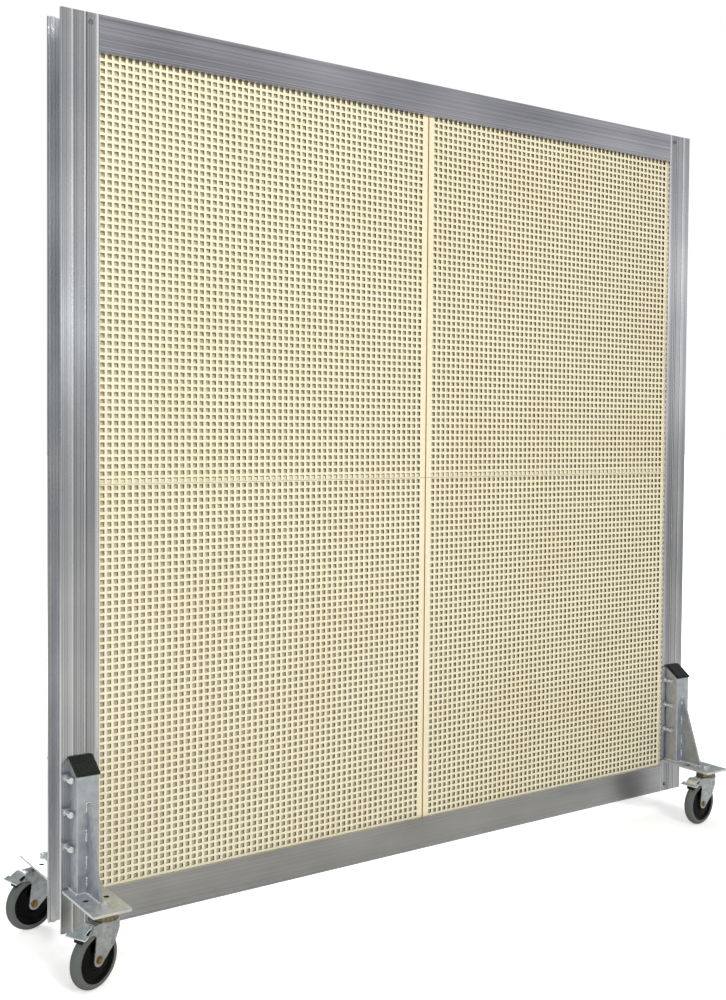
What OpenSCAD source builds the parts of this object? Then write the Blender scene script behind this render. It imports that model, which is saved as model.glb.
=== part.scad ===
// Rolling acoustic partition: two open side posts, two rails and perforated panels,
// carried by four bolted-on feet, each on a braked swivel castor.
// X runs along the partition, Y from the front to the back, and Z up from the floor.
// The origin lies on the floor, under the middle of the whole object's outline.

/* [Frame] */
// Height of a side post
post_h = 2000; // [1600:10:2400]
// Width of a side post, seen from the front
post_w = 86; // [84:1:110]
// Depth of a side post, front to back
post_d = 85; // [75:1:110]
// Clear width between the posts
opening_w = 1800; // [1200:10:2400]
// Height of the top and bottom rails
rail_h = 80; // [50:1:120]
// Wall of the extruded sections
wall = 3; // [2:0.1:4]
// Depth of the open channel in a post's outer side
channel_depth = 28; // [24:1:32]
// How far the frame stands proud of the panels
recess = 12; // [9:0.5:16]
// Depth of the seat that holds the panels' edges
seat_depth = 7; // [5:0.5:10]
// Width of the grooves along a post's face
groove_w = 2.4; // [1.6:0.1:3]
// Depth of the grooves along a post's face
groove_d = 1.2; // [0.8:0.1:1.5]
// Thickness of the boss behind each row of bracket bolts
boss_t = 9; // [6:0.5:9]

/* [Panels] */
// Thickness of a perforated sheet
sheet_t = 3; // [1:0.5:4]
// Visible width of the left-hand panels
left_panel_w = 900; // [500:1:1000]
// Visible height of the lower panels
lower_panel_h = 899; // [600:1:1100]
// Width of the upright gap between the panels
seam_gap = 4; // [1:0.5:5]
// Height of the level gap between the panels
level_gap = 1; // [0.5:0.5:4]
// Clearance at the panels' edges inside their seat
seat_clear = 1; // [0.5:0.1:2]
// Width of the bar behind the upright seam
bar_w = 30; // [24:1:60]
// Height of the bar behind the level seam
transom_h = 14; // [12:1:60]
// Rise of that bar's middle above the level seam
transom_up = 3.5; // [0:0.5:5]
// Wall of the bars behind the seams
bar_wall = 2; // [1.5:0.1:3]
// Clearance round each absorber slab
core_clear = 0.4; // [0.2:0.1:0.9]
// Air gap between a sheet and the absorber
core_air = 6; // [0.5:0.5:12]

/* [Foot] */
// Reach of a foot plate in front of its post
plate_l = 185; // [175:1:230]
// Gap between a foot plate and its post
plate_gap = 5; // [2:0.5:8]
// Thickness of a foot plate
plate_t = 6; // [4:0.5:8]
// Corner radius of a foot plate
plate_corner_r = 3; // [1:0.5:8]
// Height of the foot plate's top above the post's lower end
foot_rise = 99; // [60:1:140]
// Width of the upright tube
tube_w = 50; // [40:1:51]
// Depth of the upright tube
tube_d = 47; // [30:1:54]
// Wall of the upright tube
tube_wall = 3; // [2:0.5:4]
// Corner radius of the upright tube
tube_r = 3; // [3:0.5:6]
// Height of the upright tube at its back
tube_h = 287; // [270:1:340]
// Slope of the upright tube's top
cap_slope = 34; // [20:1:40]
// Thickness of the lugs beside the tube
lug_t = 5; // [4:0.5:8]
// Height of a lug
lug_h = 16; // [15:1:26]
// Shortening of a lug at the edge of the post
lug_inset = 2; // [0:0.5:3]
// Height of the lowest lug's middle above the foot plate
lug_first = 95; // [60:1:100]
// Drop of the highest lug's middle below the tube's top
lug_drop = 42; // [38:1:70]
// Height of the gusset on the tube's front
gusset_h = 195; // [120:1:200]
// Length of the gusset's foot along the plate
gusset_l = 73; // [40:1:80]
// Thickness of the gusset
gusset_t = 6; // [4:0.5:8]
// Width of the gusset's blunt top and toe
gusset_tip = 5; // [3:0.5:10]
// Distance of the two fixing holes from the post
fix_hole_y = 92; // [70:1:110]
// Distance between the two fixing holes
fix_hole_pitch = 46; // [30:1:60]
// Diameter of the fixing holes
fix_hole_d = 12; // [8:0.5:14]

/* [End cap] */
// Thickness of the cap's rim
cap_t = 3.5; // [2:0.5:5]
// Overhang of the rim past the tube
cap_over = 2.5; // [1:0.5:4]
// Height of the cap's raised top
cap_pad_t = 2; // [1:0.5:3]
// Width of the rim left around the raised top
cap_ledge = 3.5; // [2:0.5:6]
// Depth of the plug below the tube's front edge
plug_depth = 10; // [5:1:20]
// Clearance of the plug inside the tube
plug_clear = 0.3; // [0.2:0.1:0.6]

/* [Castor] */
// Diameter of the wheel
wheel_d = 125; // [120:1:160]
// Width of the tyre
tyre_w = 25; // [18:1:25]
// Radius of the tyre's rounded tread
tread_r = 16; // [14:0.5:20]
// Radial thickness of the tyre
tyre_t = 13.5; // [10:0.5:16]
// Distance from the top of the tyre to the foot plate
over_wheel = 30; // [30:0.5:40]
// Offset of the wheel behind the swivel axis
castor_trail = 34; // [32:0.5:36]
// Distance of the swivel axis from the post
castor_y = 142; // [136:1:150]
// Clear width between the fork's legs
fork_gap = 27; // [26:0.5:34]
// Thickness of the fork's legs
leg_t = 2.5; // [2:0.1:3.5]
// Radius of the fork's round crown
crown_r = 29; // [28:0.5:32]
// Thickness of the fork's crown
crown_t = 3.5; // [2.5:0.1:4]
// Radius of a leg's round end
leg_tip_r = 14; // [12:0.5:16]
// Diameter of the wheel's axle
axle_d = 12; // [8:0.5:14]
// Gap between the axle and the hub, all round
axle_clear = 0.06; // [0.02:0.01:0.1]
// Diameter of the balls in the swivel head
ball_d = 4.8; // [4:0.1:6]
// Turn of the front left castor away from the partition's line
turn_front_left = 25; // [0:1:40]
// Turn of the front right castor
turn_front_right = 7; // [0:1:40]
// Turn of the rear left castor
turn_rear_left = 12; // [0:1:40]
// Turn of the rear right castor
turn_rear_right = 10; // [0:1:40]

/* [Brake] */
// Distance of the pedal's pin behind the axle
pin_behind = 18; // [16:0.5:20]
// Diameter of the pedal's pin
pin_d = 6; // [4:0.5:8]
// Gap between the pin and the pedal, all round
pin_clear = 0.05; // [0.02:0.01:0.1]
// Length of the pedal's slope behind its pin
pedal_l = 27; // [24:0.5:30]
// Width of the pedal's tread
pedal_w = 34; // [30:1:40]
// Thickness of the pedal's sheet
pedal_t = 2.5; // [2:0.1:3]
// Height of the pedal's swell above a straight slope
pedal_crown = 4; // [0:0.5:5]
// Width of the lip that the toe presses
lip_w = 55; // [44:1:60]
// Length of the lip
lip_l = 9; // [6:0.5:12]
// Width of the brake block
block_w = 24; // [16:1:24]
// Angle through which the pedal is pressed to brake
pedal_press = 4; // [2:0.5:5]
// Gap left between the pressed brake block and the tyre
brake_gap = 0.4; // [0.3:0.1:1]

/* [Fasteners] */
// Shank of a bracket bolt
bracket_bolt_d = 8; // [6:0.5:8]
// Width across the flats of a bracket bolt's head
bracket_bolt_af = 13; // [10:0.5:13.5]
// Height of a bracket bolt's head
bracket_bolt_head = 6.5; // [5:0.1:8]
// Diameter of a bracket bolt's round shoulder
shoulder_d = 11; // [9:0.5:12]
// Length of a bracket bolt's round shoulder
shoulder_l = 20; // [4:0.5:26]
// Diameter of a bracket bolt's washer
bracket_washer_d = 14; // [13:0.5:17]
// Thickness of a bracket bolt's washer
bracket_washer_t = 1.6; // [1:0.1:3]
// Shank of a castor's centre bolt
king_d = 12; // [10:0.5:14]
// Width across the flats of the centre bolt's head and nut
king_af = 19; // [17:0.5:20]
// Height of the centre bolt's head
king_head = 7.5; // [6:0.1:9]
// Height of the centre bolt's nut
king_nut = 6.5; // [5:0.1:7]
// Head of a corner screw
screw_head_d = 12; // [9:0.5:13]
// Shank of a corner screw
screw_d = 5; // [4:0.5:6]
// Distance of a corner screw from the post's outer edge
screw_x = 67; // [64:1:68]
// Distance of a corner screw from the post's end
screw_z = 20; // [12:1:40]

/* [Hidden] */
$fn = 48;
corner = ["front_left", "front_right", "rear_left", "rear_right"];
corners = [0 : 3];
foot_parts = ["foot_plate", "bracket", "gusset", "end_cap"];
castor_parts = ["castor_fork", "castor_axle", "castor_rim", "castor_tyre", "castor_pedal", "brake_block"];
face_names = ["front", "rear"];
panel_names = ["top_left_panel", "top_right_panel", "bottom_left_panel", "bottom_right_panel"];

// Fits between solids that touch or pass through each other
bolt_clear = 0.05;
touch = 0.1;
eps = 0.5;

// Heights, from the floor up
wheel_r = wheel_d / 2;
plate_z = wheel_d + over_wheel;
plate_top = plate_z + plate_t;
post_z = plate_top - foot_rise;
post_top = post_z + post_h;
open_z0 = post_z + rail_h;
open_z1 = post_top - rail_h;
seam_z = open_z0 + lower_panel_h;

// Lengths along the partition, from its middle
frame_w = opening_w + 2 * post_w;
seam_x = left_panel_w - opening_w / 2;

// Depths, from the middle of the posts
face_y = post_d / 2;
sheet_y = face_y - recess - sheet_t;
core_d = 2 * sheet_y;

// Castor heights: the head under the plate, the balls, then the fork's crown
head_t = 12;
ball_gap = ball_d + 2 * touch;
crown_top = plate_z - head_t - ball_gap;
crown_bottom = crown_top - crown_t;
ball_ring_r = crown_r - 7;
leg_y = fork_gap / 2;
fork_w = fork_gap + 2 * leg_t;
turn = [turn_front_left, turn_front_right, turn_rear_left, turn_rear_right];
tyre_inner_r = wheel_r - tyre_t;

// Pedal pin, in the plane of the wheel
pin = [castor_trail + pin_behind, crown_top - 7.5];
axle = [castor_trail, wheel_r];
pedal_rise = [-5, 10];
pedal_drop = 0.39;
pedal_bends = 16;
ear_bends = 6;

// The left castors trail past the left post, and a pedal's lip reaches past the front
// plates, so the frame stands off the origin by half of each
lip_reach = castor_trail + pin_behind + pedal_l + lip_l;
function reach_x(a) = max((castor_trail + wheel_r - tread_r) * cos(a) + tread_r,
    lip_reach * cos(a) + lip_w / 2 * sin(a));
function reach_y(a) = castor_y + lip_reach * sin(a) + lip_w / 2 * cos(a);
left_reach = max(post_w / 2, reach_x(turn_front_left), reach_x(turn_rear_left));
front_reach = max(plate_l, reach_y(turn_front_left), reach_y(turn_front_right));
frame_x = (left_reach - post_w / 2) / 2;
frame_y = (front_reach - plate_l) / 2;

// Left edges of the grooves along a post's face, from the outer edge
groove_x = [23, 51, 80];
bolt_off = (tube_w + bracket_washer_d) / 2 + eps;
boss_w = bracket_bolt_d + 2;
lug_pitch = (tube_h - lug_drop - lug_first) / 2;

function arc(c, r, from, to, n) = [for (k = [0 : n]) let (a = from + (to - from) * k / n)
    c + r * [cos(a), sin(a)]];
// Direction from a circle's centre to where a line from point p touches it
function tangent(c, r, p, side) = atan2(p[1] - c[1], p[0] - c[0]) + side * acos(r / norm(p - c));

module in_frame() {
    translate([frame_x, frame_y, 0]) children();
}

// Feet are drawn with -Y pointing away from the partition
module at_foot(i) {
    side = i % 2 == 0 ? -1 : 1;
    back = i > 1 ? 180 : 0;
    in_frame() translate([side * (opening_w + post_w) / 2, 0, 0])
        rotate([0, 0, back]) translate([0, -face_y, 0]) children();
}

// Castors are drawn with +X pointing to the trailing wheel and the swivel axis at the origin
module at_castor(i) {
    side = i % 2 == 0 ? -1 : 1;
    back = i > 1 ? 1 : -1;
    in_frame() translate([side * (opening_w + post_w) / 2, back * (face_y + castor_y), 0])
        rotate([0, 0, 180 + turn[i]]) children();
}

module rounded_rect(w, d, r) {
    square([w - 2 * r, d], center = true);
    square([w, d - 2 * r], center = true);
    for (x = [-1, 1], y = [-1, 1])
        translate([x * (w / 2 - r), y * (d / 2 - r)]) circle(r);
}

module hexagon(flats, h) {
    cylinder(h = h, d = flats / cos(30), $fn = 6);
}

// Draws a shape given in the wheel's plane as a plate of width w across it
module across(w) {
    rotate([90, 0, 0]) linear_extrude(w, center = true) children();
}

// ---- Frame ----

// One half of a post's section, from its front face to the middle: outer edge at x = 0
module post_half_section() {
    difference() {
        union() {
            square([post_w, wall]);
            square([wall, wall + 4]);
            for (x = [channel_depth, post_w - seat_depth - wall])
                translate([x, 0]) square([wall, post_d / 2 + eps]);
            translate([post_w - seat_depth - wall, 0]) square([seat_depth + wall, recess]);
            for (x = [-1, 1])
                translate([post_w / 2 + x * bolt_off - boss_w / 2, 0]) square([boss_w, boss_t]);
        }
        for (x = groove_x) translate([x, 0])
            polygon([[0, -1], [0, groove_d], [groove_w - groove_d, groove_d], [groove_w + 1, -1]]);
    }
}

module post_section() {
    post_half_section();
    translate([0, post_d]) mirror([0, 1]) post_half_section();
}

// Holes through a post's face, beside the tube, drawn in foot coordinates
module foot_bolt_places() {
    for (k = [0 : 2])
        translate([-bolt_off, 0, plate_top + lug_first + k * lug_pitch]) rotate([90, 0, 0]) children();
}

module screw_places() {
    for (side = [-1, 1], back = [0, 1], z = [post_z + screw_z, post_top - screw_z])
        in_frame() translate([side * (frame_w / 2 - screw_x), 0, z])
            mirror([0, back, 0]) translate([0, -face_y, 0]) rotate([90, 0, 0]) children();
}

module post(side) {
    feet = side < 0 ? [0, 2] : [1, 3];
    difference() {
        in_frame() mirror([side < 0 ? 0 : 1, 0, 0]) translate([-frame_w / 2, -face_y, post_z])
            linear_extrude(post_h) post_section();
        for (i = feet) at_foot(i) foot_bolt_places()
            translate([0, 0, -boss_t + 1]) cylinder(h = boss_t + 1, r = bracket_bolt_d / 2 + bolt_clear);
        screw_places() translate([0, 0, -wall - 1]) cylinder(h = wall + 2, r = screw_d / 2 + bolt_clear);
    }
}

module left_post() color("silver") post(-1);

module right_post() color("silver") post(1);

// Rail section: first axis front to back, second from the outer face towards the panels
module rail_section() {
    for (y = [0, post_d - wall]) translate([y, 0]) square([wall, rail_h]);
    square([post_d, wall]);
    translate([0, rail_h - seat_depth - wall]) square([post_d, wall]);
    for (y = [0, post_d - recess])
        translate([y, rail_h - seat_depth - wall]) square([recess, seat_depth + wall]);
}

module rail() {
    in_frame() translate([-opening_w / 2, -face_y, 0]) rotate([90, 0, 90])
        linear_extrude(opening_w) rail_section();
}

module bottom_rail() color("darkgray") translate([0, 0, post_z]) rail();

module top_rail() color("gray") translate([0, 0, post_top]) mirror([0, 0, 1]) rail();

// The panels' edges reach into the seats of the posts and rails
panel_x0 = -opening_w / 2 - seat_depth + seat_clear;
panel_x1 = opening_w / 2 + seat_depth - seat_clear;
panel_z0 = open_z0 - seat_depth + seat_clear;
panel_z1 = open_z1 + seat_depth - seat_clear;

module panel(face, top, right) {
    x0 = right ? seam_x + seam_gap / 2 : panel_x0;
    x1 = right ? panel_x1 : seam_x - seam_gap / 2;
    z0 = top ? seam_z + level_gap / 2 : panel_z0;
    z1 = top ? panel_z1 : seam_z - level_gap / 2;
    color("wheat") in_frame() mirror([0, face, 0]) translate([x0, -sheet_y - sheet_t, z0])
        cube([x1 - x0, sheet_t, z1 - z0]);
}

// Box section bars stand behind the seams and keep the front and rear sheets apart
module box_bar(width, length) {
    linear_extrude(length) difference() {
        square([width, core_d], center = true);
        square([width - 2 * bar_wall, core_d - 2 * bar_wall], center = true);
    }
}

module mullion() {
    color("gainsboro") in_frame() translate([seam_x, 0, panel_z0]) box_bar(bar_w, panel_z1 - panel_z0);
}

module transom() {
    color("gainsboro") in_frame() for (right = [0, 1]) {
        x0 = right ? seam_x + bar_w / 2 : panel_x0;
        x1 = right ? panel_x1 : seam_x - bar_w / 2;
        translate([x0, 0, seam_z + transom_up]) rotate([0, 90, 0]) box_bar(transom_h, x1 - x0);
    }
}

module absorber_core() {
    color("ivory") in_frame() for (right = [0, 1], top = [0, 1]) {
        x0 = right ? seam_x + bar_w / 2 : panel_x0;
        x1 = right ? panel_x1 : seam_x - bar_w / 2;
        z0 = top ? seam_z + transom_up + transom_h / 2 : panel_z0;
        z1 = top ? panel_z1 : seam_z + transom_up - transom_h / 2;
        translate([x0 + core_clear, -core_d / 2 + core_air, z0 + core_clear])
            cube([x1 - x0 - 2 * core_clear, core_d - 2 * core_air, z1 - z0 - 2 * core_clear]);
    }
}

module corner_screws() {
    cone_h = 1;
    color("silver") screw_places() difference() {
        union() {
            cylinder(h = 1.4, d = screw_head_d);
            translate([0, 0, 1.4]) cylinder(h = cone_h, d1 = screw_head_d, d2 = screw_head_d - 4);
            translate([0, 0, -wall - 4]) cylinder(h = wall + 4 + eps, d = screw_d);
        }
        for (a = [0, 90]) rotate([0, 0, a]) translate([-3, -0.6, 1.4]) cube([6, 1.2, cone_h + 1]);
    }
}

// ---- Feet ----

module foot_plate(i) {
    color("lightsteelblue") at_foot(i) translate([0, 0, plate_z]) difference() {
        translate([0, -(plate_l + plate_gap) / 2, 0]) linear_extrude(plate_t)
            rounded_rect(post_w, plate_l - plate_gap, plate_corner_r);
        for (x = [-1, 1]) translate([x * fix_hole_pitch / 2, -fix_hole_y, -1])
            cylinder(h = plate_t + 2, d = fix_hole_d);
        translate([0, -castor_y, -1]) cylinder(h = plate_t + 2, r = king_d / 2 + bolt_clear);
    }
}

tube_top = plate_top + tube_h;
tube_front_top = tube_top - tube_d * tan(cap_slope);

// Puts the plane of the tube's sloping top in the XY plane, with -Y running down the slope
module on_slope() {
    translate([0, 0, tube_top]) rotate([cap_slope, 0, 0]) children();
}

module above_slope(rise = 0) {
    size = 3 * tube_d;
    on_slope() translate([-size / 2, -size, rise]) cube([size, 2 * size, size]);
}

// The upright is a tube against the post, with three flat lugs welded to one of its sides
module bracket(i) {
    lug_x = tube_w / 2 - tube_wall + 1;
    color("lightsteelblue") at_foot(i) {
        difference() {
            translate([0, -tube_d / 2, plate_top]) linear_extrude(tube_h) difference() {
                rounded_rect(tube_w, tube_d, tube_r);
                rounded_rect(tube_w - 2 * tube_wall, tube_d - 2 * tube_wall, tube_r - tube_wall / 2);
            }
            above_slope();
        }
        difference() {
            for (k = [0 : 2])
                translate([lug_inset - post_w / 2, -lug_t,
                    plate_top + lug_first + k * lug_pitch - lug_h / 2])
                cube([post_w / 2 - lug_inset - lug_x, lug_t, lug_h]);
            foot_bolt_places() translate([0, 0, -1])
                cylinder(h = lug_t + 2, r = bracket_bolt_d / 2 + bolt_clear);
        }
    }
}

module gusset(i) {
    color("lightsteelblue") at_foot(i) translate([0, -tube_d, plate_top])
        rotate([90, 0, -90]) linear_extrude(gusset_t, center = true)
            polygon([[0, 0], [gusset_l, 0], [gusset_l, gusset_tip], [gusset_tip, gusset_h], [0, gusset_h]]);
}

module end_cap(i) {
    front_edge = tube_d / cos(cap_slope) + cap_over;
    length = front_edge - touch;
    rim_w = tube_w + 2 * cap_over;
    inner_w = tube_w - 2 * tube_wall - 2 * plug_clear;
    inner_d = tube_d - 2 * tube_wall - 2 * plug_clear;
    color("#1a1a1a") at_foot(i) {
        on_slope() translate([0, -touch - length / 2, 0]) {
            linear_extrude(cap_t) rounded_rect(rim_w, length, tube_r);
            linear_extrude(cap_t + cap_pad_t)
                rounded_rect(rim_w - 2 * cap_ledge, length - 2 * cap_ledge, tube_r - 1);
        }
        difference() {
            translate([0, -tube_d / 2, tube_front_top - plug_depth])
                linear_extrude(tube_top - tube_front_top + plug_depth)
                    rounded_rect(inner_w, inner_d, tube_r - 2);
            above_slope(eps);
        }
    }
}

// Shouldered bolts, whose tails end in the bosses of the posts
module bracket_bolts() {
    tail = boss_t - 1;
    color("gainsboro") for (i = corners) at_foot(i) foot_bolt_places() {
        translate([0, 0, lug_t]) difference() {
            cylinder(h = bracket_washer_t, d = bracket_washer_d);
            translate([0, 0, -1]) cylinder(h = bracket_washer_t + 2, r = bracket_bolt_d / 2 + bolt_clear);
        }
        translate([0, 0, lug_t + bracket_washer_t]) {
            cylinder(h = shoulder_l + eps, d = shoulder_d);
            translate([0, 0, shoulder_l]) rotate([0, 0, 30]) hexagon(bracket_bolt_af, bracket_bolt_head);
        }
        translate([0, 0, -tail + touch])
            cylinder(h = tail + lug_t + bracket_washer_t + eps, d = bracket_bolt_d);
    }
}

// ---- Castors ----

// The fixed head holds the upper ball race, with a skirt over the balls
module castor_heads() {
    race = plate_z - head_t;
    color("gainsboro") for (i = corners) at_castor(i) difference() {
        union() {
            translate([0, 0, race]) cylinder(h = head_t / 2, r = crown_r - 1);
            translate([0, 0, race + head_t / 2]) cylinder(h = head_t / 2, r = crown_r - 8);
            translate([0, 0, crown_top + 1]) difference() {
                cylinder(h = ball_gap - 1 + eps, r = crown_r - 1);
                translate([0, 0, -1]) cylinder(h = ball_gap + 1, r = ball_ring_r + ball_d / 2 + 1);
            }
        }
        translate([0, 0, race - 1]) cylinder(h = head_t + 2, r = king_d / 2 + bolt_clear);
    }
}

module castor_balls() {
    balls = 16;
    color("silver") for (i = corners) at_castor(i) for (k = [1 : balls])
        rotate([0, 0, 360 / balls * k]) translate([ball_ring_r, 0, crown_top + ball_gap / 2])
            sphere(d = ball_d);
}

// The centre bolt hangs the fork: its nut and washer hold the crown from below
module castor_bolts() {
    washer_t = 1.5;
    nut_top = crown_bottom - touch - washer_t;
    color("gainsboro") for (i = corners) at_castor(i) {
        translate([0, 0, plate_top]) hexagon(king_af, king_head);
        translate([0, 0, nut_top - king_nut]) cylinder(h = plate_top + eps - nut_top + king_nut, d = king_d);
        translate([0, 0, nut_top - king_nut]) hexagon(king_af, king_nut);
        translate([0, 0, nut_top]) cylinder(h = washer_t, r = leg_y - 1);
    }
}

// Outline of a leg in the wheel's plane: wide under the crown, narrow at the axle,
// with a rounded notch over the tyre on the trailing side
notch_z = crown_top - 18;
notch_r = 12;
leg_lead = [[2 - crown_r, crown_top], [2 - crown_r, crown_top - 26], [-12, crown_top - 55]];
leg_trail_x = castor_trail + 8;

module leg_outline() {
    notch_c = [leg_trail_x + notch_r, notch_z - notch_r];
    lead_touch = tangent(axle, leg_tip_r, leg_lead[2], 1);
    trail_touch = tangent(axle, leg_tip_r, notch_c - [notch_r, 0], -1) + 360;
    polygon(concat(leg_lead,
        arc(axle, leg_tip_r, lead_touch, trail_touch, 16),
        arc(notch_c, notch_r, 180, 90, 8),
        [pin + [18, -9.5], pin + [-4, 7.5]]));
}

module castor_fork(i) {
    bridge_end = pin[0] - 10;
    web_h = 14;
    color("lightsteelblue") at_castor(i) difference() {
        union() {
            for (y = [-1, 1]) translate([0, y * (leg_y + leg_t / 2), 0]) across(leg_t) leg_outline();
            translate([0, 0, crown_bottom]) cylinder(h = crown_t, r = crown_r);
            translate([0, -fork_w / 2, crown_bottom]) cube([bridge_end, fork_w, crown_t]);
            translate([2 - crown_r, -fork_w / 2, crown_top - web_h]) cube([leg_t, fork_w, web_h]);
            translate([pin[0], 0, pin[1]]) rotate([90, 0, 0])
                cylinder(h = fork_w + 2, d = pin_d, center = true);
        }
        translate([0, 0, crown_bottom - 1]) cylinder(h = crown_t + 2, r = king_d / 2 + 0.5);
        translate([axle[0], 0, axle[1]]) rotate([90, 0, 0])
            cylinder(h = fork_w + 2, r = axle_d / 2 + bolt_clear, center = true);
    }
}

// Turns Z into the wheel's axle
module on_axle() {
    translate([axle[0], 0, axle[1]]) rotate([-90, 0, 0]) children();
}

module castor_axle(i) {
    flange_t = 1;
    head_h = 2.5;
    color("darkgoldenrod") at_castor(i) on_axle() {
        cylinder(h = fork_w + 2 * touch, d = axle_d, center = true);
        for (s = [0, 1]) mirror([0, 0, s]) translate([0, 0, fork_w / 2 + touch]) {
            cylinder(h = flange_t, d = axle_d + 6);
            cylinder(h = flange_t + head_h, d = axle_d);
        }
    }
}

// Wheel core: hub, dished web and the ring that carries the tyre
module castor_rim(i) {
    r = tyre_inner_r - touch;
    hub = leg_y - 0.5;
    hub_r = axle_d / 2 + 11;
    ring = tyre_w / 2 - 1;
    bore = axle_d / 2 + axle_clear;
    side = [[bore, hub], [hub_r, hub], [hub_r + 5, ring - 3.5],
        [r - 10, ring - 4.5], [r - 4, ring], [r, ring]];
    color("#141414") at_castor(i) on_axle() rotate_extrude($fn = 96)
        polygon(concat(side, [for (k = [5 : -1 : 0]) [side[k][0], -side[k][1]]]));
}

module castor_tyre(i) {
    color("gray") at_castor(i) on_axle() rotate_extrude($fn = 96) intersection() {
        translate([wheel_r - tread_r, 0]) circle(tread_r);
        translate([tyre_inner_r, -tyre_w / 2]) square([tyre_t + 1, tyre_w]);
    }
}

// Distance behind the pin of the pedal's k-th bend, and of its lip's edge after the last one
function pedal_s(k) = k > pedal_bends ? pedal_l + lip_l
    : pedal_rise[0] + (pedal_l - pedal_rise[0]) * k / pedal_bends;

// Top line of the pedal's sheet, at a distance s behind its pin: a slope with a swell on it
function pedal_swell(s) = 1 - pow(2 * (s - pedal_rise[0]) / (pedal_l - pedal_rise[0]) - 1, 2);
function pedal_top(s) = pin[1] + pedal_rise[1] - pedal_drop * (s - pedal_rise[0])
    + pedal_crown * max(0, pedal_swell(s));

// Points of the sheet from one bend to another, at a depth below its top
function pedal_line(first, last, depth) = [for (k = [first : first < last ? 1 : -1 : last])
    [pin[0] + pedal_s(k), pedal_top(pedal_s(k)) - depth]];

module pedal_strip(first, last) {
    polygon(concat(pedal_line(first, last, 0), pedal_line(last, first, pedal_t)));
}

module castor_pedal(i) {
    inner_w = fork_gap - 1.4;
    color("silver") at_castor(i) difference() {
        union() {
            across(inner_w) pedal_strip(0, pedal_bends);
            across(pedal_w) pedal_strip(ear_bends - 1, pedal_bends);
            across(lip_w) pedal_strip(pedal_bends - 1, pedal_bends + 1);
            for (y = [-1, 1]) translate([0, y * (inner_w - pedal_t) / 2, 0]) across(pedal_t) {
                translate(pin) circle(pin_d / 2 + 2.5);
                polygon(concat(pedal_line(0, ear_bends, pedal_t / 2),
                    [for (p = [[5, -2], [0, -4], [-5.5, 0]]) pin + p]));
            }
        }
        translate([pin[0], 0, pin[1]]) rotate([90, 0, 0])
            cylinder(h = lip_w, r = pin_d / 2 + pin_clear, center = true);
    }
}

// Turns its contents from the pressed pedal back to the lifted one
module lifted() {
    translate([pin[0], 0, pin[1]]) rotate([0, -pedal_press, 0]) translate([-pin[0], 0, -pin[1]]) children();
}

// The block hangs under the pedal, and its underside fits the tyre when pressed
module brake_block(i) {
    color("#202020") at_castor(i) difference() {
        across(block_w) polygon(concat(pedal_line(ear_bends + 1, pedal_bends, pedal_t),
            [for (k = [pedal_bends, ear_bends + 1]) [pin[0] + pedal_s(k), wheel_r + 10]]));
        lifted() on_axle() cylinder(h = block_w + 2, r = wheel_r + brake_gap, center = true, $fn = 96);
    }
}

left_post();
right_post();
top_rail();
bottom_rail();
mullion();
transom();
absorber_core();
corner_screws();
bracket_bolts();
castor_heads();
castor_bolts();
castor_balls();
for (f = [0, 1], p = [0 : 3])
    panel(f, p < 2, p % 2 == 1);
for (i = corners) {
    foot_plate(i);
    bracket(i);
    gusset(i);
    end_cap(i);
    castor_fork(i);
    castor_axle(i);
    castor_rim(i);
    castor_tyre(i);
    castor_pedal(i);
    brake_block(i);
}
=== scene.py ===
import math
import random

import bmesh
import bpy
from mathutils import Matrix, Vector


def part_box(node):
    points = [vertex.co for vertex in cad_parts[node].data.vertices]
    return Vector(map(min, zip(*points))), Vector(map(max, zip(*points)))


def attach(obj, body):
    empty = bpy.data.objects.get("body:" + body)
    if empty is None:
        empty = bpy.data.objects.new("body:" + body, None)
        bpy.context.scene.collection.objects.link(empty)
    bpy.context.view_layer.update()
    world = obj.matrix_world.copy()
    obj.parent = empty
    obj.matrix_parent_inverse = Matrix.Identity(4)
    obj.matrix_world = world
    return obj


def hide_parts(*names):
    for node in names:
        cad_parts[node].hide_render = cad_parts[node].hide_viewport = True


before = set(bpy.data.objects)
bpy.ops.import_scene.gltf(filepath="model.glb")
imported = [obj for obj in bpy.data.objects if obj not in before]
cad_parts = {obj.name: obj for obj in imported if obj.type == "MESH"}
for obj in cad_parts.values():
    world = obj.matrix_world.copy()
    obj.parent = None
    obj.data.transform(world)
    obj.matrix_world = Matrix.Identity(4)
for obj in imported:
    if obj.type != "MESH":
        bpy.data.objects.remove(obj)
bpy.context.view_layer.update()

# ---- Side posts ----
# Two aluminium extrusions, open along their outer side, with three grooves down each face.
# They are left as they come from the press: drawn lengthwise, dull, with fine die lines.

# Sizes are in metres unless a comment says otherwise. Die lines are finer on a real post, and
# stand 3 mm apart here so that they show.
DIE_LINE = 0.003
DIE_LINE_RUN = 2.5
DULL_PATCH = 0.2
DULL_PATCH_RUN = 0.45
# The painted light bands below colour the faces and end this deep under them, so the grooves stay
# plain.
FACE_SKIN = 0.0005
# Painted light on the faces: bright bands beside the grooves are painted highlights, the thin
# dark lines next to them are painted shade, and the levels between them are painted reflection.
# Each band starts so many mm from a post's outer edge and has this brightness.
PAINTED_LIGHT_BANDS = ((0, 0.85), (1.4, 0.35), (2.8, 0.62), (18, 0.7), (22.4, 1.0), (27.4, 0.26),
         (29.6, 0.56), (36, 0.62), (48.6, 0.4), (50.8, 1.0), (55, 0.2), (57.2, 0.5),
         (68, 0.58), (77, 0.85), (81, 0.98), (84.6, 0.3))
# How many mm from that edge the painted light bands go.
PAINTED_LIGHT_REACH = 100


def linear(hex_colour):
    """An sRGB hex colour as the linear one that Blender's sockets take."""
    parts = [int(hex_colour[i:i + 2], 16) / 255 for i in (1, 3, 5)]
    return [p / 12.92 if p <= 0.04045 else ((p + 0.055) / 1.055) ** 2.4 for p in parts] + [1.0]


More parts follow.
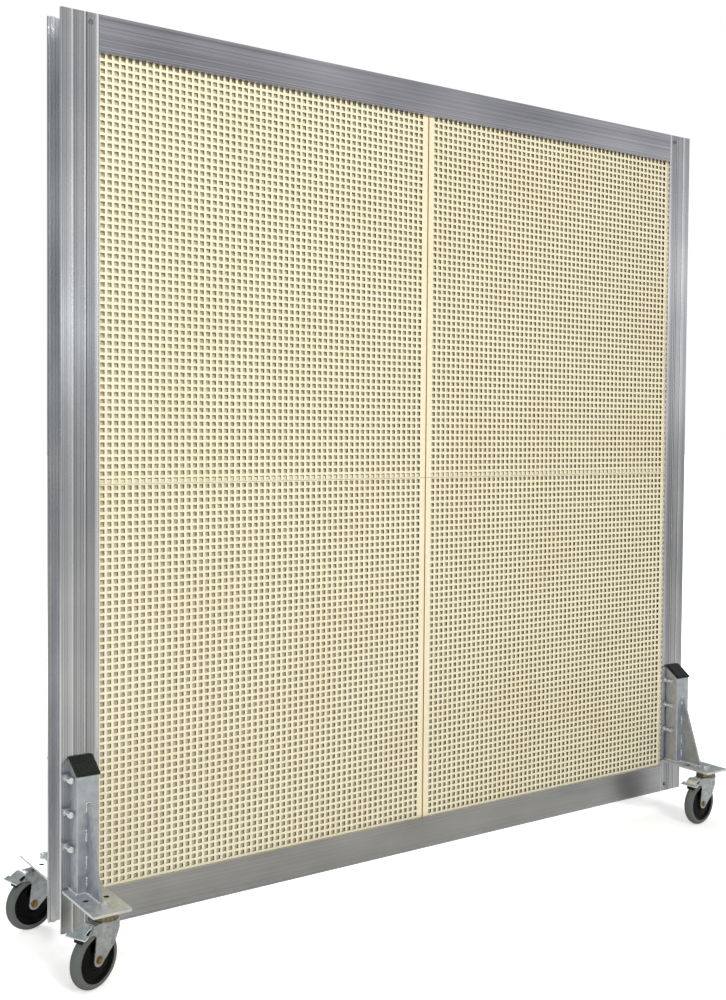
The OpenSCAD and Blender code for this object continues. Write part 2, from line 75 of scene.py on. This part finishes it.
def add_node(owner, kind, sockets=None, **settings):
    """Adds a node to a material or world. Each socket gets a value or another node's output."""
    node = owner.node_tree.nodes.new(kind)
    for name, value in settings.items():
        setattr(node, name, value)
    for socket, value in (sockets or {}).items():
        if isinstance(value, bpy.types.NodeSocket):
            owner.node_tree.links.new(value, node.inputs[socket])
        else:
            node.inputs[socket].default_value = value
    return node


def new_material(name, metallic, roughness):
    """A material with its shader's plain values, and the shader."""
    material = bpy.data.materials.new(name)
    material.use_nodes = True
    shader = material.node_tree.nodes["Principled BSDF"]
    shader.inputs["Metallic"].default_value = metallic
    shader.inputs["Roughness"].default_value = roughness
    return material, shader


def feed(owner, shader, **sockets):
    """Links node outputs to the shader's sockets, named with underscores for spaces."""
    for name, output in sockets.items():
        owner.node_tree.links.new(output, shader.inputs[name.replace("_", " ")])


def drawn_aluminium(name, along, dark, pale, rough, streak=0.4):
    """Extruded aluminium as drawn: die lines and broad dull patches, both run along one axis."""
    material, shader = new_material(name, metallic=0.88, roughness=rough)
    place = add_node(material, "ShaderNodeTexCoord").outputs["Object"]
    line_scale = [1 / DIE_LINE] * 3
    line_scale[along] = 1 / DIE_LINE_RUN
    lines = add_node(material, "ShaderNodeMapping", {"Vector": place, "Scale": line_scale})
    streaks = add_node(material, "ShaderNodeTexNoise",
                       {"Vector": lines.outputs["Vector"], "Scale": 1.0, "Detail": 3.0})
    patch_scale = [1 / DULL_PATCH] * 3
    patch_scale[along] = 1 / DULL_PATCH_RUN
    patches = add_node(material, "ShaderNodeMapping", {"Vector": place, "Scale": patch_scale})
    dull = add_node(material, "ShaderNodeTexNoise",
                    {"Vector": patches.outputs["Vector"], "Scale": 1.0, "Detail": 3.0})
    both = add_node(material, "ShaderNodeMix",
                    {"Factor": streak, "A": dull.outputs["Fac"], "B": streaks.outputs["Fac"]})
    tone = add_node(material, "ShaderNodeValToRGB", {"Fac": both.outputs["Result"]})
    tone.color_ramp.elements[0].position = 0.38
    tone.color_ramp.elements[0].color = linear(dark)
    tone.color_ramp.elements[1].position = 0.62
    tone.color_ramp.elements[1].color = linear(pale)
    ridges = add_node(material, "ShaderNodeBump",
                      {"Height": streaks.outputs["Fac"], "Strength": 0.12, "Distance": 0.0002})
    feed(material, shader, Base_Color=tone.outputs["Color"], Normal=ridges.outputs["Normal"])
    return material, shader, tone


def dress(node, material):
    """Gives a CAD node its finish."""
    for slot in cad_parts[node].material_slots:
        slot.material = material


post_finish, post_shader, post_tone = drawn_aluminium(
    "mill_finish_aluminium_post", 2, "#C2C5CA", "#FFFFFF", rough=0.25, streak=0.6)
# Both posts and all of their faces are alike, so the painted highlight and shade bands are
# placed by how far a point is from the partition's middle.
left_low, left_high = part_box("left_post")
right_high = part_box("right_post")[1]
outer_edge = (right_high.x - left_low.x) / 2
outer_face = (left_high.y - left_low.y) / 2
middle = ((right_high.x + left_low.x) / 2, (left_high.y + left_low.y) / 2, 0)
post_place = add_node(post_finish, "ShaderNodeTexCoord").outputs["Object"]
off_middle = add_node(post_finish, "ShaderNodeVectorMath", {0: post_place, 1: middle},
                      operation="SUBTRACT")
either_side = add_node(post_finish, "ShaderNodeVectorMath", {0: off_middle.outputs["Vector"]},
                       operation="ABSOLUTE")
across_post = add_node(post_finish, "ShaderNodeSeparateXYZ",
                       {"Vector": either_side.outputs["Vector"]})
from_edge = add_node(post_finish, "ShaderNodeMapRange",
                     {"Value": across_post.outputs["X"], "From Min": outer_edge,
                      "From Max": outer_edge - PAINTED_LIGHT_REACH / 1000})
# A ramp of painted highlights, painted shade and painted reflection across each face.
painted_light_ramp = add_node(post_finish, "ShaderNodeValToRGB", {"Fac": from_edge.outputs["Result"]})
painted_light_ramp.color_ramp.interpolation = "CONSTANT"
painted_light_ramp.color_ramp.elements.remove(painted_light_ramp.color_ramp.elements[1])
painted_light_ramp.color_ramp.elements[0].color = (PAINTED_LIGHT_BANDS[0][1],) * 3 + (1,)
for start, bright in PAINTED_LIGHT_BANDS[1:]:
    painted_light_ramp.color_ramp.elements.new(start / PAINTED_LIGHT_REACH).color = (bright,) * 3 + (1,)
on_face = add_node(post_finish, "ShaderNodeMath",
                   {0: across_post.outputs["Y"], 1: outer_face - FACE_SKIN},
                   operation="GREATER_THAN")
# A Mix node's colour sockets are inputs 6 and 7 and output 2, here and further down.
tone_with_painted_light = add_node(post_finish, "ShaderNodeMix",
                  {"Factor": on_face.outputs["Value"], 6: post_tone.outputs["Color"],
                   7: painted_light_ramp.outputs["Color"]}, data_type="RGBA", blend_type="MULTIPLY")
feed(post_finish, post_shader, Base_Color=tone_with_painted_light.outputs[2])
dress("left_post", post_finish)
dress("right_post", post_finish)

# ---- Rails ----
# Two aluminium extrusions between the posts, screwed to them at the corners. The upper one is
# brushed lengthwise, and the lower one is left as drawn and a little more even.

dress("top_rail", drawn_aluminium("brushed_aluminium_top_rail", 0, "#8E8F95", "#C6C6CB",
                                  rough=0.3, streak=0.6)[0])
dress("bottom_rail", drawn_aluminium("mill_finish_aluminium_bottom_rail", 0, "#96979A", "#BABBBC",
                                     rough=0.3)[0])

# ---- Perforated panels ----
# Eight steel sheets, four on each side, punched with 10 mm square holes at 16 mm both ways
# and powder coated cream. Their edges sit in the frame, and the holes stop short of the
# upright seam.

HOLE = 0.010
PITCH = 0.016
SHEET = 0.003
# The holes' middles start FIRST_COLUMN in from the posts and FIRST_ROW above the bottom rail,
# and end about SEAM_MARGIN short of the upright seam. The level seam parts the two lots of rows.
FIRST_COLUMN = 0.012
SEAM_MARGIN = 0.024
FIRST_ROW = 0.011
ROWS_BELOW = 56
ROWS_ABOVE = 59
ORANGE_PEEL = 0.0015
COAT_CLOUD = 0.25
RUST_CLOUD = 0.03
# The tan-brown colour of the sheets' edges reaches this far to both sides of the upright seam.
TAN_SEAM_REACH = 0.005


def powder_coat(name, colour, shade, rough):
    """Baked powder coat: an even colour, a satin skin and a fine orange peel."""
    material, shader = new_material(name, metallic=0.0, roughness=rough)
    place = add_node(material, "ShaderNodeTexCoord").outputs["Object"]
    peel = add_node(material, "ShaderNodeTexNoise",
                    {"Vector": place, "Scale": 1 / ORANGE_PEEL, "Detail": 1.0})
    cloud = add_node(material, "ShaderNodeTexNoise",
                     {"Vector": place, "Scale": 1 / COAT_CLOUD, "Detail": 2.0})
    tone = add_node(material, "ShaderNodeValToRGB", {"Fac": cloud.outputs["Fac"]})
    tone.color_ramp.elements[0].position = 0.3
    tone.color_ramp.elements[0].color = linear(shade)
    tone.color_ramp.elements[1].position = 0.6
    tone.color_ramp.elements[1].color = linear(colour)
    skin = add_node(material, "ShaderNodeBump",
                    {"Height": peel.outputs["Fac"], "Strength": 0.1, "Distance": 0.0001})
    feed(material, shader, Base_Color=tone.outputs["Color"], Normal=skin.outputs["Normal"])
    return material


def cuts(low, high, centres):
    """The lines along which a sheet is divided: its own edges and those of each hole."""
    return [low] + [c + side * HOLE / 2 for c in centres for side in (-1, 1)] + [high]


def add_object(name, data):
    """A new object in the scene, at the origin."""
    thing = bpy.data.objects.new(name, data)
    bpy.context.scene.collection.objects.link(thing)
    return thing


def add_piece(name, bm, *materials):
    """A new object from a bmesh, with its materials."""
    mesh = bpy.data.meshes.new(name)
    bm.to_mesh(mesh)
    bm.free()
    for material in materials:
        mesh.materials.append(material)
    return add_object(name, mesh)


cream = powder_coat("powder_coated_steel_cream", "#F5EED2", "#F2E9C9", rough=0.5)
# The sheets were punched after they were coated, so the holes' walls are bare and dull. Their
# dark olive-brown colour is partly painted shade inside the holes.
punched_edge_and_shade, edge_shader = new_material("punched_steel_edge_painted_shade", metallic=0.3, roughness=0.65)
edge_place = add_node(punched_edge_and_shade, "ShaderNodeTexCoord").outputs["Object"]
edge_mottle = add_node(punched_edge_and_shade, "ShaderNodeTexNoise",
                {"Vector": edge_place, "Scale": 1 / RUST_CLOUD, "Detail": 3.0})
edge_tone = add_node(punched_edge_and_shade, "ShaderNodeValToRGB", {"Fac": edge_mottle.outputs["Fac"]})
edge_tone.color_ramp.elements[0].position = 0.35
edge_tone.color_ramp.elements[0].color = linear("#332E20")
edge_tone.color_ramp.elements[1].position = 0.65
edge_tone.color_ramp.elements[1].color = linear("#574F38")
# The sheets' edges along the upright seam are coloured tan-brown.
mullion_low, mullion_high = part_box("mullion")
edge_x = add_node(punched_edge_and_shade, "ShaderNodeSeparateXYZ", {"Vector": edge_place}).outputs["X"]
by_seam = add_node(punched_edge_and_shade, "ShaderNodeMath",
                   {0: edge_x, 1: (mullion_low.x + mullion_high.x) / 2, 2: TAN_SEAM_REACH},
                   operation="COMPARE")
tan_by_seam = add_node(punched_edge_and_shade, "ShaderNodeMix",
                  {"Factor": by_seam.outputs["Value"], 6: edge_tone.outputs["Color"],
                   7: linear("#BFA074")}, data_type="RGBA")
feed(punched_edge_and_shade, edge_shader, Base_Color=tan_by_seam.outputs[2])

left_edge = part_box("left_post")[1].x
right_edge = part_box("right_post")[0].x
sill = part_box("bottom_rail")[1].z
for face in ("front", "rear"):
    for place in ("top_left", "top_right", "bottom_left", "bottom_right"):
        node = f"{face}_{place}_panel"
        low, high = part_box(node)
        if place.endswith("left"):
            count = 1 + round((high.x - left_edge - FIRST_COLUMN - SEAM_MARGIN) / PITCH)
            columns = [left_edge + FIRST_COLUMN + k * PITCH for k in range(count)]
        else:
            count = 1 + round((right_edge - low.x - FIRST_COLUMN - SEAM_MARGIN) / PITCH)
            columns = [right_edge - FIRST_COLUMN - k * PITCH for k in reversed(range(count))]
        if place.startswith("bottom"):
            rows = range(ROWS_BELOW)
        else:
            rows = range(ROWS_BELOW, ROWS_BELOW + ROWS_ABOVE)
        xs = cuts(low.x, high.x, columns)
        zs = cuts(low.z, high.z, [sill + FIRST_ROW + k * PITCH for k in rows])
        nx, nz = len(xs) - 1, len(zs) - 1
        bm = bmesh.new()
        # The grid runs from -1 to 1, and its odd cells both ways are the holes.
        bmesh.ops.create_grid(bm, x_segments=nx, y_segments=nz, size=1)
        punched = []
        for f in bm.faces:
            spot = f.calc_center_median()
            if int((spot.x + 1) / 2 * nx) % 2 and int((spot.y + 1) / 2 * nz) % 2:
                punched.append(f)
        bmesh.ops.delete(bm, geom=punched, context="FACES")
        y = low.y if face == "front" else high.y
        for v in bm.verts:
            v.co = (xs[round((v.co.x + 1) / 2 * nx)], y, zs[round((v.co.y + 1) / 2 * nz)])
        if face == "rear":
            bmesh.ops.reverse_faces(bm, faces=bm.faces)
        panel = add_piece(f"{node}_perforated", bm, cream, punched_edge_and_shade)
        thick = panel.modifiers.new("Thickness", "SOLIDIFY")
        thick.thickness = SHEET
        thick.offset = -1
        thick.material_offset_rim = 1
        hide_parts(node)
        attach(panel, "partition")

# ---- Bars behind the seams ----
# Box sections that keep the two faces apart. The level ones are coated cream and show through
# the holes just above the seam, and the upright one shows as a brown line in its seam.

# The upright bar is coloured tan-brown.
dress("mullion", powder_coat("tan_brown_seam_coat", "#C4A57C", "#B19066", rough=0.6))
dress("transom", powder_coat("powder_coated_bar_cream", "#F1E9CB", "#EAE1C0", rough=0.5))

# ---- Absorber ----
# Slabs of sound absorber, faced with pale needled fleece, that fill the panels. They show as a
# light ground behind each hole.

# Real fibres are finer, and are drawn 1.5 mm apart so that the nap shows.
FIBRE = 0.0015

absorber, absorber_shader = new_material("needled_absorber_fleece", metallic=0.0, roughness=0.95)
fleece_place = add_node(absorber, "ShaderNodeTexCoord").outputs["Object"]
fibres = add_node(absorber, "ShaderNodeTexNoise",
                  {"Vector": fleece_place, "Scale": 1 / FIBRE, "Detail": 4.0})
fleece_tone = add_node(absorber, "ShaderNodeValToRGB", {"Fac": fibres.outputs["Fac"]})
fleece_tone.color_ramp.elements[0].position = 0.35
fleece_tone.color_ramp.elements[0].color = linear("#CFC8B4")
fleece_tone.color_ramp.elements[1].position = 0.65
fleece_tone.color_ramp.elements[1].color = linear("#E6E1D2")
nap = add_node(absorber, "ShaderNodeBump",
               {"Height": fibres.outputs["Fac"], "Strength": 0.4, "Distance": 0.0005})
feed(absorber, absorber_shader, Base_Color=fleece_tone.outputs["Color"],
     Normal=nap.outputs["Normal"])
dress("absorber_core", absorber)

# ---- Feet ----
# Each foot is a zinc-plated steel weldment: a plate that carries the castor, an upright tube
# with three lugs on one side, and a gusset. The plating is bluish with a soft shine.

CORNERS = ("front_left", "front_right", "rear_left", "rear_right")
EASE = 0.0006
# Coarser than the grain of real plating, so that it shows.
ZINC_GRAIN = 0.002
# A node comes as loose triangles. Points this close are one, faces this nearly level with each
# other are joined, and edges sharper than this stay sharp.
MERGE = 2e-6
FLAT = math.radians(0.5)
SHARP = math.radians(30)
# A plate's upright faces that are this far in from its rim are the walls of its holes. The
# normal of an upright face rises by less than this.
PLATE_MARGIN = 0.008
UPRIGHT = 0.5


def zinc(name, dark, pale, rough, cloud):
    """Electroplated zinc: clouds in its colour and shine, and a fine grain."""
    material, shader = new_material(name, metallic=0.85, roughness=rough)
    place = add_node(material, "ShaderNodeTexCoord").outputs["Object"]
    clouds = add_node(material, "ShaderNodeTexNoise",
                      {"Vector": place, "Scale": 1 / cloud, "Detail": 4.0})
    tone = add_node(material, "ShaderNodeValToRGB", {"Fac": clouds.outputs["Fac"]})
    tone.color_ramp.elements[0].position = 0.35
    tone.color_ramp.elements[0].color = linear(dark)
    tone.color_ramp.elements[1].position = 0.65
    tone.color_ramp.elements[1].color = linear(pale)
    shine = add_node(material, "ShaderNodeMapRange",
                     {"Value": clouds.outputs["Fac"], "From Min": 0.3, "From Max": 0.7,
                      "To Min": rough - 0.08, "To Max": rough + 0.08})
    grain = add_node(material, "ShaderNodeTexNoise",
                     {"Vector": place, "Scale": 1 / ZINC_GRAIN, "Detail": 2.0})
    skin = add_node(material, "ShaderNodeBump",
                    {"Height": grain.outputs["Fac"], "Strength": 0.1, "Distance": 0.0001})
    feed(material, shader, Base_Color=tone.outputs["Color"], Roughness=shine.outputs["Result"],
         Normal=skin.outputs["Normal"])
    return material


def eased(node, body, material, width=0.0):
    """A copy of a CAD node as one closed skin, smooth where it is round. width eases its edges."""
    bm = bmesh.new()
    bm.from_mesh(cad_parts[node].data)
    bmesh.ops.remove_doubles(bm, verts=bm.verts, dist=MERGE)
    bmesh.ops.dissolve_limit(bm, angle_limit=FLAT, verts=bm.verts, edges=bm.edges)
    for f in bm.faces:
        f.smooth = True
        f.material_index = 0
    for e in bm.edges:
        e.smooth = e.is_manifold and e.calc_face_angle(0) < SHARP
    piece = add_piece(f"{node}_eased", bm, material)
    if width:
        ease = piece.modifiers.new("Eased edges", "BEVEL")
        ease.width = width
        ease.segments = 2
        ease.limit_method = "ANGLE"
        ease.angle_limit = SHARP
        ease.harden_normals = True
    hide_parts(node)
    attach(piece, body)
    return piece


# Satin plating in three tones: the plates' paler tone is painted light, and the gussets' darker tone
# is painted shade for the floor they mirror.
foot_zinc = zinc("zinc_plated_steel_foot", "#AFB7BF", "#C6CACD", rough=0.42, cloud=0.015)
gusset_zinc_painted_shade = zinc("zinc_plated_steel_gusset_painted_shade", "#A1A9B0", "#B8BDC1", rough=0.42, cloud=0.015)
plate_zinc_painted_light = zinc("zinc_plated_steel_plate_painted_light", "#D3D8DC", "#ECEEF0", rough=0.5, cloud=0.015)
# The walls of the plates' holes are coloured dark as painted shade.
hole_wall_shade = zinc("plate_hole_painted_shade", "#33312E", "#57534C", rough=0.6, cloud=0.004)
for corner in CORNERS:
    plate = eased(f"{corner}_foot_plate", "partition", plate_zinc_painted_light, EASE).data
    plate.materials.append(hole_wall_shade)
    low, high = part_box(f"{corner}_foot_plate")
    for face in plate.polygons:
        from_rim = min(face.center.x - low.x, high.x - face.center.x,
                       face.center.y - low.y, high.y - face.center.y)
        if from_rim > PLATE_MARGIN and abs(face.normal.z) < UPRIGHT:
            face.material_index = 1
    eased(f"{corner}_bracket", "partition", foot_zinc, EASE)
    eased(f"{corner}_gusset", "partition", gusset_zinc_painted_shade, EASE)

# ---- Welds ----
# Rows of overlapping weld drops along the gusset, its foot and the foot of the tube. They
# are left as welded and plated over, and glossier than the flat steel. Their paler colour is a
# painted highlight.

DROP = 0.0034
DROP_STEP = DROP * 1.3
DROP_WANDER = DROP * 0.15
# The stitches between gusset and tube: the heights of their tops and bottoms over the plate.
STITCHES = ((0.196, 0.176), (0.136, 0.112), (0.078, 0.055), (0.032, 0.014))
HALF_TUBE = 0.025
SIDE_RUN = 0.045
GUSSET_GAP = 0.005


def run_of_drops(bm, start, end, dice):
    """Lays weld drops from start to end, each overlapping the last."""
    count = max(2, round((end - start).length / DROP_STEP))
    for k in range(count + 1):
        size = DROP * dice.uniform(0.65, 1.2)
        wander = Vector([dice.uniform(-1, 1) * DROP_WANDER for _ in "xyz"])
        drop = bmesh.ops.create_icosphere(bm, subdivisions=1, radius=size)
        bmesh.ops.translate(bm, verts=drop["verts"], vec=start.lerp(end, k / count) + wander)


weld_zinc_painted_highlight = zinc("zinc_weld_drops_painted_highlight", "#CDD2D6", "#F2F4F6", rough=0.24, cloud=0.004)
for corner in CORNERS:
    dice = random.Random(corner)
    low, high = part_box(f"{corner}_gusset")
    outward = -1 if corner.startswith("front") else 1
    back, tip = (high.y, low.y) if outward < 0 else (low.y, high.y)
    centre = (low.x + high.x) / 2
    bm = bmesh.new()
    for x in (low.x, high.x):
        for top, bottom in STITCHES:
            run_of_drops(bm, Vector((x, back, low.z + top)), Vector((x, back, low.z + bottom)), dice)
        run_of_drops(bm, Vector((x, back, low.z)), Vector((x, tip, low.z)), dice)
    for side in (-1, 1):
        tube_corner = Vector((centre + side * HALF_TUBE, back, low.z))
        run_of_drops(bm, tube_corner, tube_corner - Vector((0, outward * SIDE_RUN, 0)), dice)
        run_of_drops(bm, tube_corner, Vector((centre + side * GUSSET_GAP, back, low.z)), dice)
    for f in bm.faces:
        f.smooth = True
    welds = add_piece(f"{corner}_foot_welds", bm, weld_zinc_painted_highlight)
    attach(welds, "partition")

# ---- End caps ----
# Black caps of moulded polyethylene, pushed into the cut tubes. They are glossy, with rounded
# edges.

CAP_EASE = 0.0009


def moulded_plastic(name, colour, rough, grain, gloss=0.22):
    """Moulded plastic: one colour all through, with a faint grain from the mould."""
    # The grain is coarser than a real mould leaves, so that it shows.
    material, shader = new_material(name, metallic=0.0, roughness=rough)
    place = add_node(material, "ShaderNodeTexCoord").outputs["Object"]
    speck = add_node(material, "ShaderNodeTexNoise",
                     {"Vector": place, "Scale": 1 / grain, "Detail": 2.0})
    wear = add_node(material, "ShaderNodeMapRange",
                    {"Value": speck.outputs["Fac"], "From Min": 0.3, "From Max": 0.7,
                     "To Min": rough - 0.05, "To Max": rough + 0.08})
    skin = add_node(material, "ShaderNodeBump",
                    {"Height": speck.outputs["Fac"], "Strength": 0.1, "Distance": 0.0001})
    shader.inputs["Base Color"].default_value = linear(colour)
    shader.inputs["Specular IOR Level"].default_value = gloss
    feed(material, shader, Roughness=wear.outputs["Result"], Normal=skin.outputs["Normal"])
    return material


cap_plastic = moulded_plastic("moulded_polyethylene_black", "#0B1613", rough=0.26, grain=0.003,
                              gloss=0.5)
for corner in CORNERS:
    eased(f"{corner}_end_cap", "partition", cap_plastic, CAP_EASE)

# ---- Fasteners ----
# Hexagon bolts with washers through the feet's lugs and plates, in bright zinc-plated steel,
# and pan-head screws in the posts, whose plating has gone dull.

BOLT_EASE = 0.0004

bright_zinc = zinc("bright_zinc_fastener", "#D0D4D8", "#F2F4F6", rough=0.16, cloud=0.006)
dull_zinc = zinc("dull_zinc_screw", "#6E7276", "#A4A8AC", rough=0.22, cloud=0.006)
for node in ("bracket_bolts", "castor_bolts"):
    eased(node, "partition", bright_zinc, BOLT_EASE)
eased("corner_screws", "partition", dull_zinc)

# ---- Castors ----
# Swivel castors under the plates: pressed steel heads, passivated to a bronze tint, with loose
# balls in them, zinc-plated forks, axles in yellow passivated steel, wheels of black polyamide
# with grey rubber tyres, and bright pedals over black brake blocks.

FORK_EASE = 0.0005
AXLE_EASE = 0.0004
PEDAL_EASE = 0.001

# The forks are duller than the pedals, which mirror the room. Heads and axles are warm spots
# between the greys.
fork_zinc = zinc("zinc_plated_castor_steel", "#9CA2A5", "#BBBFC1", rough=0.3, cloud=0.012)
pedal_zinc = zinc("bright_plated_pedal", "#D6DADE", "#F3F5F7", rough=0.16, cloud=0.02)
axle_yellow = zinc("yellow_passivated_axle", "#6E5730", "#A88A56", rough=0.34, cloud=0.004)
head_bronze = zinc("bronze_passivated_head", "#665A42", "#A09270", rough=0.34, cloud=0.006)
# The wheels' middles are smooth and nearly black. Tyres and brake blocks are matt.
polyamide = moulded_plastic("moulded_polyamide_black", "#030303", rough=0.2, grain=0.004, gloss=0.1)
tyre_rubber = moulded_plastic("grey_thermoplastic_rubber", "#646967", rough=0.5, grain=0.002)
brake_rubber = moulded_plastic("black_brake_rubber", "#191919", rough=0.6, grain=0.002)
eased("castor_heads", "partition", head_bronze)
eased("castor_balls", "partition", bright_zinc)
for corner in CORNERS:
    eased(f"{corner}_castor_fork", f"{corner}_swivel", fork_zinc, FORK_EASE)
    eased(f"{corner}_castor_axle", f"{corner}_swivel", axle_yellow, AXLE_EASE)
    eased(f"{corner}_castor_rim", f"{corner}_wheel", polyamide)
    eased(f"{corner}_castor_tyre", f"{corner}_wheel", tyre_rubber)
    eased(f"{corner}_castor_pedal", f"{corner}_brake", pedal_zinc, PEDAL_EASE)
    eased(f"{corner}_brake_block", f"{corner}_brake", brake_rubber, EASE)

# ---- Floor ----
# A pale studio floor that keeps the partition's shadow. To the camera it also glows, half as
# bright as white under the partition and fully from WHITE_FROM outwards.

FLOOR_HALF = 40
SHADOW_REACH = 1.3
WHITE_FROM = 3.2

floor_paint, floor_shader = new_material("studio_floor_paint", metallic=0.0, roughness=0.9)
floor_shader.inputs["Base Color"].default_value = linear("#F2F2F2")
floor_shader.inputs["Emission Color"].default_value = (1, 1, 1, 1)
floor_place = add_node(floor_paint, "ShaderNodeTexCoord").outputs["Object"]
far_off = add_node(floor_paint, "ShaderNodeVectorMath", {0: floor_place}, operation="LENGTH")
white_far = add_node(floor_paint, "ShaderNodeMapRange",
                     {"Value": far_off.outputs["Value"], "From Min": SHADOW_REACH,
                      "From Max": WHITE_FROM, "To Min": 0.5, "To Max": 1.1},
                     interpolation_type="SMOOTHSTEP")
floor_path = add_node(floor_paint, "ShaderNodeLightPath")
seen_floor = add_node(floor_paint, "ShaderNodeMath",
                      {0: white_far.outputs["Result"], 1: floor_path.outputs["Is Camera Ray"]},
                      operation="MULTIPLY")
feed(floor_paint, floor_shader, Emission_Strength=seen_floor.outputs["Value"])
bm = bmesh.new()
bmesh.ops.create_grid(bm, x_segments=1, y_segments=1, size=FLOOR_HALF)
add_piece("studio_floor", bm, floor_paint)

# ---- Surround ----
# What stands around the floor. The camera sees plain white, and dull surfaces get a soft grey
# light, but metal mirrors a room: a bright band above eye level, pale to the left and cooler
# behind.

# The heights at which the room has these shades, as the rise of the line of sight to them.
ROOM_LEVELS = ((0.03, "#A6A7A9"), (0.065, "#EEEEEE"), (0.11, "#FFFFFF"), (0.15, "#CFCFD1"),
               (0.3, "#C0C0C4"))
SOFT_LIGHT = (0.42, 0.42, 0.42, 1)
PALE_LEFT = (1.25, 1.25, 1.27, 1)
WHITE = (1, 1, 1, 1)

world = bpy.data.worlds.new("studio_surround")
world.use_nodes = True
bpy.context.scene.world = world
surround = world.node_tree.nodes["Background"]
direction = add_node(world, "ShaderNodeTexCoord").outputs["Generated"]
heading = add_node(world, "ShaderNodeSeparateXYZ", {"Vector": direction})
room = add_node(world, "ShaderNodeValToRGB", {"Fac": heading.outputs["Z"]})
room.color_ramp.elements[0].color = linear("#A2A3A5")
room.color_ramp.elements[1].color = linear("#BEBFC0")
for height, shade in ROOM_LEVELS:
    room.color_ramp.elements.new(height).color = linear(shade)
to_rear = add_node(world, "ShaderNodeMapRange",
                   {"Value": heading.outputs["Y"], "From Min": -0.4, "From Max": 0.5})
rear_tint = add_node(world, "ShaderNodeMix",
                     {"Factor": to_rear.outputs["Result"], 6: WHITE, 7: linear("#AEBBBA")},
                     data_type="RGBA")
cooled = add_node(world, "ShaderNodeMix",
                  {"Factor": 1.0, 6: room.outputs["Color"], 7: rear_tint.outputs[2]},
                  data_type="RGBA", blend_type="MULTIPLY")
to_left = add_node(world, "ShaderNodeMapRange",
                   {"Value": heading.outputs["X"], "From Min": -0.5, "From Max": -0.9})
pale_left = add_node(world, "ShaderNodeMix",
                     {"Factor": to_left.outputs["Result"], 6: cooled.outputs[2], 7: PALE_LEFT},
                     data_type="RGBA")
path = add_node(world, "ShaderNodeLightPath")
mirrored = add_node(world, "ShaderNodeMix",
                    {"Factor": path.outputs["Is Glossy Ray"], 6: SOFT_LIGHT,
                     7: pale_left.outputs[2]}, data_type="RGBA")
shown = add_node(world, "ShaderNodeMix",
                 {"Factor": path.outputs["Is Camera Ray"], 6: mirrored.outputs[2], 7: WHITE},
                 data_type="RGBA")
surround.inputs["Strength"].default_value = 1.0
feed(world, surround, Color=shown.outputs[2])

# ---- Lamps ----
# Two soft lamps light the front, the nearer one from the left, and one lights the floor and
# the back. Two weak ones give the posts a glint, because metal mirrors them.


def lamp(name, place, aim, width, watts, colour, mirrored=True):
    """A square soft lamp at place, turned to aim. Metal mirrors it unless mirrored is off."""
    data = bpy.data.lights.new(name, "AREA")
    data.shape = "SQUARE"
    data.size = width
    data.energy = watts
    data.color = linear(colour)[:3]
    lit = add_object(name, data)
    lit.location = place
    lit.rotation_euler = (Vector(aim) - Vector(place)).to_track_quat("-Z", "Y").to_euler()
    lit.visible_glossy = mirrored


lamp("front_soft_lamp", (-1.2, -6.0, 3.2), (-0.1, 0, 1.0), width=1.4, watts=194,
     colour="#FFFCF5", mirrored=False)
lamp("left_soft_lamp", (-1.6, -2.2, 2.6), (-0.6, 0, 1.3), width=0.7, watts=13,
     colour="#FFFBEE", mirrored=False)
lamp("left_strip_lamp", (0.0, -2.63, 1.62), (-0.96, 0, 1.4), width=0.28, watts=0.75,
     colour="#F4F8FF")
lamp("right_strip_lamp", (3.9, -2.6, 1.85), (0.93, 0, 1.6), width=1.4, watts=2.4,
     colour="#F8FAFF")
lamp("rear_soft_lamp", (0.8, 4.6, 4.0), (0, 0, 1.0), width=2.0, watts=190, colour="#FFFFFF")

# ---- Camera ----
# It stands left of the front at chest height, turned to the right, and its angle and shift
# come from the straight edges of the posts and rails.

eye = bpy.data.cameras.new("camera")
eye.lens = 44.73
eye.sensor_width = 36
eye.shift_x = -0.0510
eye.shift_y = -0.0334
eye.clip_start = 0.05
camera = add_object("camera", eye)
camera.location = (-1.9193, -2.6391, 1.1774)
camera.rotation_euler = [math.radians(a) for a in (88.113, -0.525, -36.061)]
bpy.context.scene.camera = camera
bpy.context.scene.view_settings.view_transform = "Standard"

bpy.context.view_layer.update()
